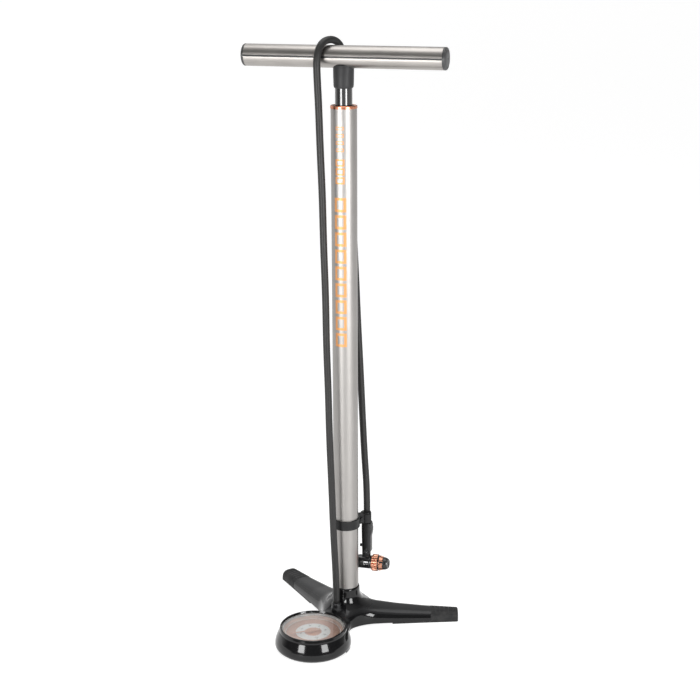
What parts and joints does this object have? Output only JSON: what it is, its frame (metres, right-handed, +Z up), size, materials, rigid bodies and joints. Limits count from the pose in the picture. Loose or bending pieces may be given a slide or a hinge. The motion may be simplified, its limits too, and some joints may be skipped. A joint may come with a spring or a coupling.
{
  "type": "floor bike pump",
  "caption": "Floor pump for bicycle tyres with a tripod base, a horizontal pressure gauge, a T handle and a hose with a lever-lock head",
  "frame": {"origin": "on the barrel's axis, at the height of the floor that the feet stand on", "axes": "+Z up along the barrel, -Y forward from the barrel to the gauge, +X to the right seen from the front, the side that the head's chuck points to"},
  "size_m": [0.2588, 0.2062, 0.7203],
  "materials": {
    "frame_black": "moulded glass-filled nylon, glossy on the hub and bowl",
    "pad_rubber": "moulded rubber, matt",
    "barrel_silver": "drawn aluminium tube, satin silver",
    "copper_anodised": "machined aluminium, anodised copper, bright",
    "rod_black": "steel tube, gloss black",
    "plain_steel": "plated steel",
    "brass": "turned brass",
    "white_acetal": "acetal",
    "black_nylon": "moulded nylon, satin black",
    "hose_rubber": "extruded rubber hose, satin black",
    "handle_alu": "aluminium tube, brushed",
    "inlay_black": "thin black strip",
    "lever_grey": "aluminium, dark grey",
    "dial_print": "printed aluminium sheet",
    "needle_red": "painted aluminium",
    "lens_clear": "clear polycarbonate",
    "seal_rubber": "nitrile rubber",
    "collar_grey": "moulded nylon, dark grey"
  },
  "bodies": {
    "base": {"base_frame": "frame_black", "foot_pad_right": "pad_rubber", "foot_pad_left": "pad_rubber", "front_foot": "pad_rubber", "barrel_tube": "barrel_silver", "barrel_cap": "copper_anodised", "barrel_plug": "black_nylon", "plug_seal": "seal_rubber", "valve_spring": "plain_steel", "air_manifold": "brass", "feed_pipe": "brass", "hose_fitting": "plain_steel", "hose": "hose_rubber", "gauge_case": "plain_steel", "gauge_bezel": "frame_black", "gauge_lens": "lens_clear", "dial_surround": "plain_steel", "gauge_dial": "dial_print", "movement_frame": "brass", "gauge_socket": "brass", "bourdon_tube": "brass", "clip_band": "black_nylon", "clip_screw": "plain_steel", "clip_nut": "plain_steel"},
    "rod_guide": {"rod_guide": "white_acetal", "rod_wiper": "seal_rubber"},
    "handle": {"handle_tube": "handle_alu", "handle_inlays": "inlay_black", "handle_cap_left": "black_nylon", "handle_cap_right": "black_nylon", "handle_collar": "collar_grey", "handle_bolt": "plain_steel", "piston_rod": "rod_black", "rod_top_plug": "plain_steel", "piston": "black_nylon", "piston_seal": "seal_rubber", "piston_screw": "plain_steel", "rod_bumper": "seal_rubber"},
    "check_valve": {"valve_poppet": "seal_rubber"},
    "gauge_needle": {"needle": "needle_red", "pinion_arbor": "brass"},
    "gauge_sector": {"sector_gear": "brass"},
    "pump_head": {"head_body": "black_nylon", "lever_pin": "plain_steel", "chuck_nose": "black_nylon", "valve_gasket": "seal_rubber"},
    "lever": {"thumb_lever": "lever_grey"},
    "plunger": {"lock_plunger": "white_acetal"},
    "collar": {"chuck_collar": "copper_anodised"},
    "bleed": {"bleed_button": "plain_steel"}
  },
  "joints": [
    {"name": "handle_turn", "type": "hinge", "parent": "base", "child": "rod_guide", "pos_m": [0, 0, 0.63], "axis": [0, 0, 1], "continuous": true, "deforming": ["hose"]},
    {"name": "handle_stroke", "type": "slide", "parent": "rod_guide", "child": "handle", "axis": [0, 0, 1], "range_m": [0, 0.53]},
    {"name": "check_valve_lift", "type": "slide", "parent": "base", "child": "check_valve", "axis": [0, 0, -1], "range_m": [0, 0.0015], "stiffness_N_per_m": 60, "springref_m": -0.0005, "deforming": ["valve_spring"]},
    {"name": "needle_sweep", "type": "hinge", "parent": "base", "child": "gauge_needle", "pos_m": [0, -0.0843, 0], "axis": [0, 0, -1], "range_deg": [0, 271], "stiffness_Nm_per_rad": 0.00002},
    {"name": "sector_sweep", "type": "hinge", "parent": "base", "child": "gauge_sector", "pos_m": [0.01764, -0.0843, 0], "axis": [0, 0, 1], "range_deg": [0, 45]},
    {"name": "head_swivel", "type": "hinge", "parent": "base", "child": "pump_head", "pos_m": [0.0157, 0.0257, 0.13], "axis": [0, 0, 1], "range_deg": [-60, 140]},
    {"name": "lever_flip", "type": "hinge", "parent": "pump_head", "child": "lever", "pos_m": [0.01725, 0.02608, 0.086], "axis": [-0.2385, 0.9711, 0], "range_deg": [0, 88]},
    {"name": "plunger_push", "type": "slide", "parent": "pump_head", "child": "plunger", "axis": [0.9711, 0.2385, 0], "range_m": [0, 0.002]},
    {"name": "collar_twist", "type": "hinge", "parent": "pump_head", "child": "collar", "pos_m": [0.0157, 0.0257, 0.0696], "axis": [0.9711, 0.2385, 0], "continuous": true},
    {"name": "bleed_press", "type": "slide", "parent": "pump_head", "child": "bleed", "axis": [0.9711, 0.2385, 0], "range_m": [0, 0.0016], "stiffness_N_per_m": 400}
  ],
  "couplings": [
    {"joint": "needle_sweep", "follows": "sector_sweep", "ratio": 6},
    {"joint": "plunger_push", "follows": "lever_flip", "m_per_rad": 0.0012371}
  ]
}
